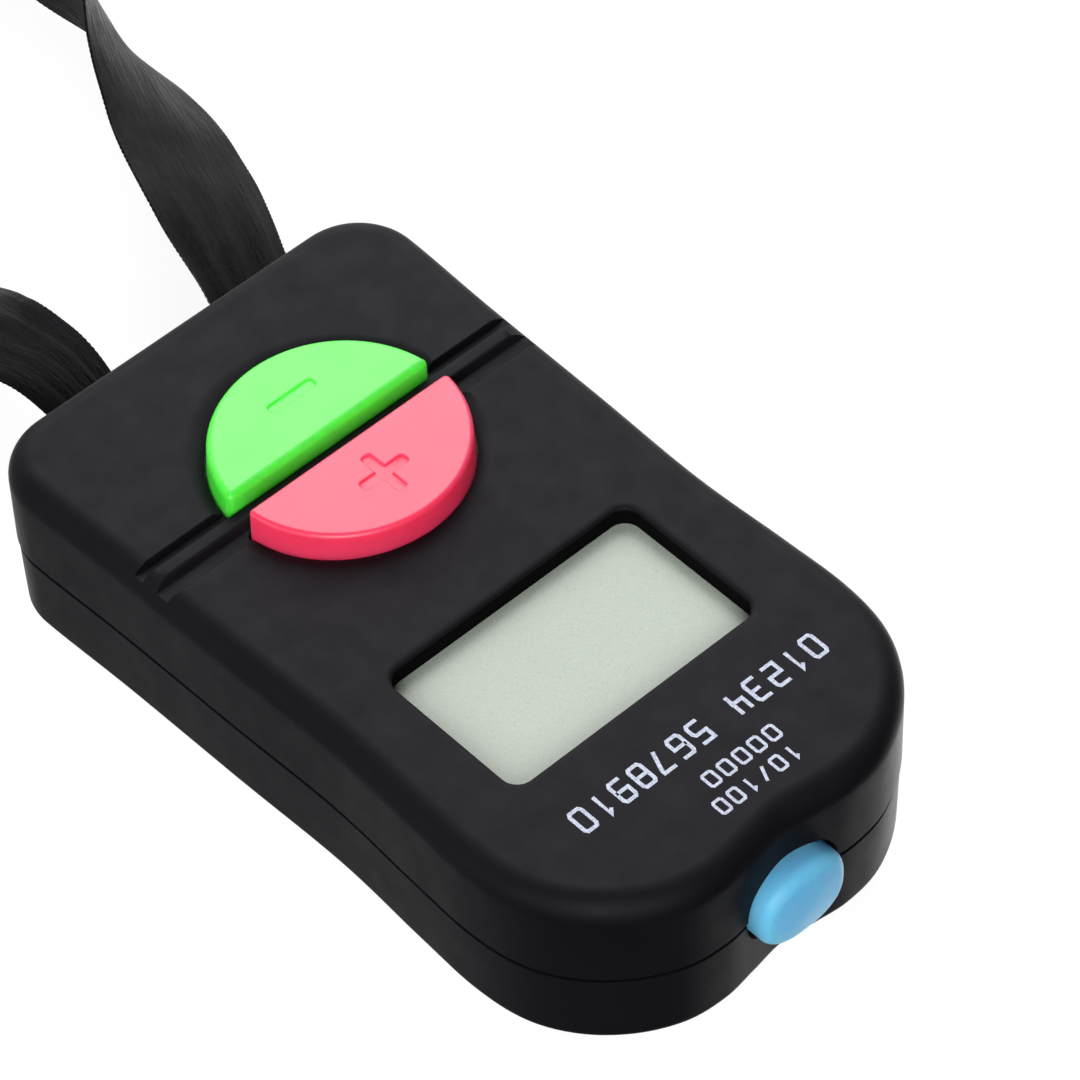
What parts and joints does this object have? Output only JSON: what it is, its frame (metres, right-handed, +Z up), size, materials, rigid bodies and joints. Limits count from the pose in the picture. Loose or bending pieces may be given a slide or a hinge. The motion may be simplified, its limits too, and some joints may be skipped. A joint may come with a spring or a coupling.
{
  "type": "hand tally counter",
  "caption": "Pocket digital tally counter with a small display, split round count button, side reset button and ribbon lanyard.",
  "frame": {"origin": "middle of the counter's bounding box, at the bottom of its back, on the surface it lies on, leaving out the lanyard", "axes": "+Z up out of the front face, +Y along the case towards the reset button, +X to the right when the front is seen with the reset button away from the viewer"},
  "size_m": [0.0748, 0.1661, 0.0164],
  "materials": {
    "soft_touch_black": "soft-touch satin",
    "black_plastic": "satin",
    "green_plastic": "semi-gloss",
    "pink_plastic": "semi-gloss",
    "blue_plastic": "semi-gloss",
    "lcd_film": "smooth film",
    "lcd_cell": "polished",
    "white_plastic": "satin",
    "grey_rubber": "matte",
    "green_board": "solder mask",
    "black_epoxy": "cured epoxy",
    "ceramic": "sintered",
    "silicone": "matte",
    "cell_steel": "nickel-plated",
    "nickel_contact": "nickel-plated",
    "screw_steel": "zinc-plated",
    "black_ribbon": "woven, slightly shiny"
  },
  "bodies": {
    "case": {"front_shell": "soft_touch_black", "back_shell": "soft_touch_black", "plus_dome": "silicone", "minus_dome": "silicone", "lcd_polarizer": "lcd_film", "lcd_glass": "lcd_cell", "lcd_frame": "white_plastic", "zebra_strip": "grey_rubber", "main_pcb": "green_board", "chip_blob": "black_epoxy", "pcb_capacitor": "ceramic", "reset_switch_body": "screw_steel", "battery_cell": "cell_steel", "battery_contact_positive": "nickel_contact", "battery_contact_negative": "nickel_contact", "battery_door": "black_plastic", "battery_door_screw": "screw_steel", "case_screw_1": "screw_steel", "case_screw_2": "screw_steel", "case_screw_3": "screw_steel", "case_screw_4": "screw_steel", "pcb_screw_1": "screw_steel", "pcb_screw_2": "screw_steel", "pcb_screw_3": "screw_steel", "pcb_screw_4": "screw_steel", "lanyard_strand_left": "black_ribbon", "lanyard_strand_right": "black_ribbon", "lanyard_coil": "black_ribbon", "lanyard_knot_left": "black_ribbon", "lanyard_knot_right": "black_ribbon"},
    "plus_button": {"plus_button": "pink_plastic"},
    "minus_button": {"minus_button": "green_plastic"},
    "reset_button": {"reset_button": "blue_plastic", "reset_switch_plunger": "black_plastic"}
  },
  "joints": [
    {"name": "plus_press", "type": "slide", "parent": "case", "child": "plus_button", "axis": [0, 0, -1], "range_m": [0, 0.0009], "stiffness_N_per_m": 600, "springref_m": -0.0015, "deforming": ["plus_dome"]},
    {"name": "minus_press", "type": "slide", "parent": "case", "child": "minus_button", "axis": [0, 0, -1], "range_m": [0, 0.0009], "stiffness_N_per_m": 600, "springref_m": -0.0015, "deforming": ["minus_dome"]},
    {"name": "reset_press", "type": "slide", "parent": "case", "child": "reset_button", "axis": [0, -1, 0], "range_m": [0, 0.0006], "stiffness_N_per_m": 1500, "springref_m": -0.0008}
  ]
}
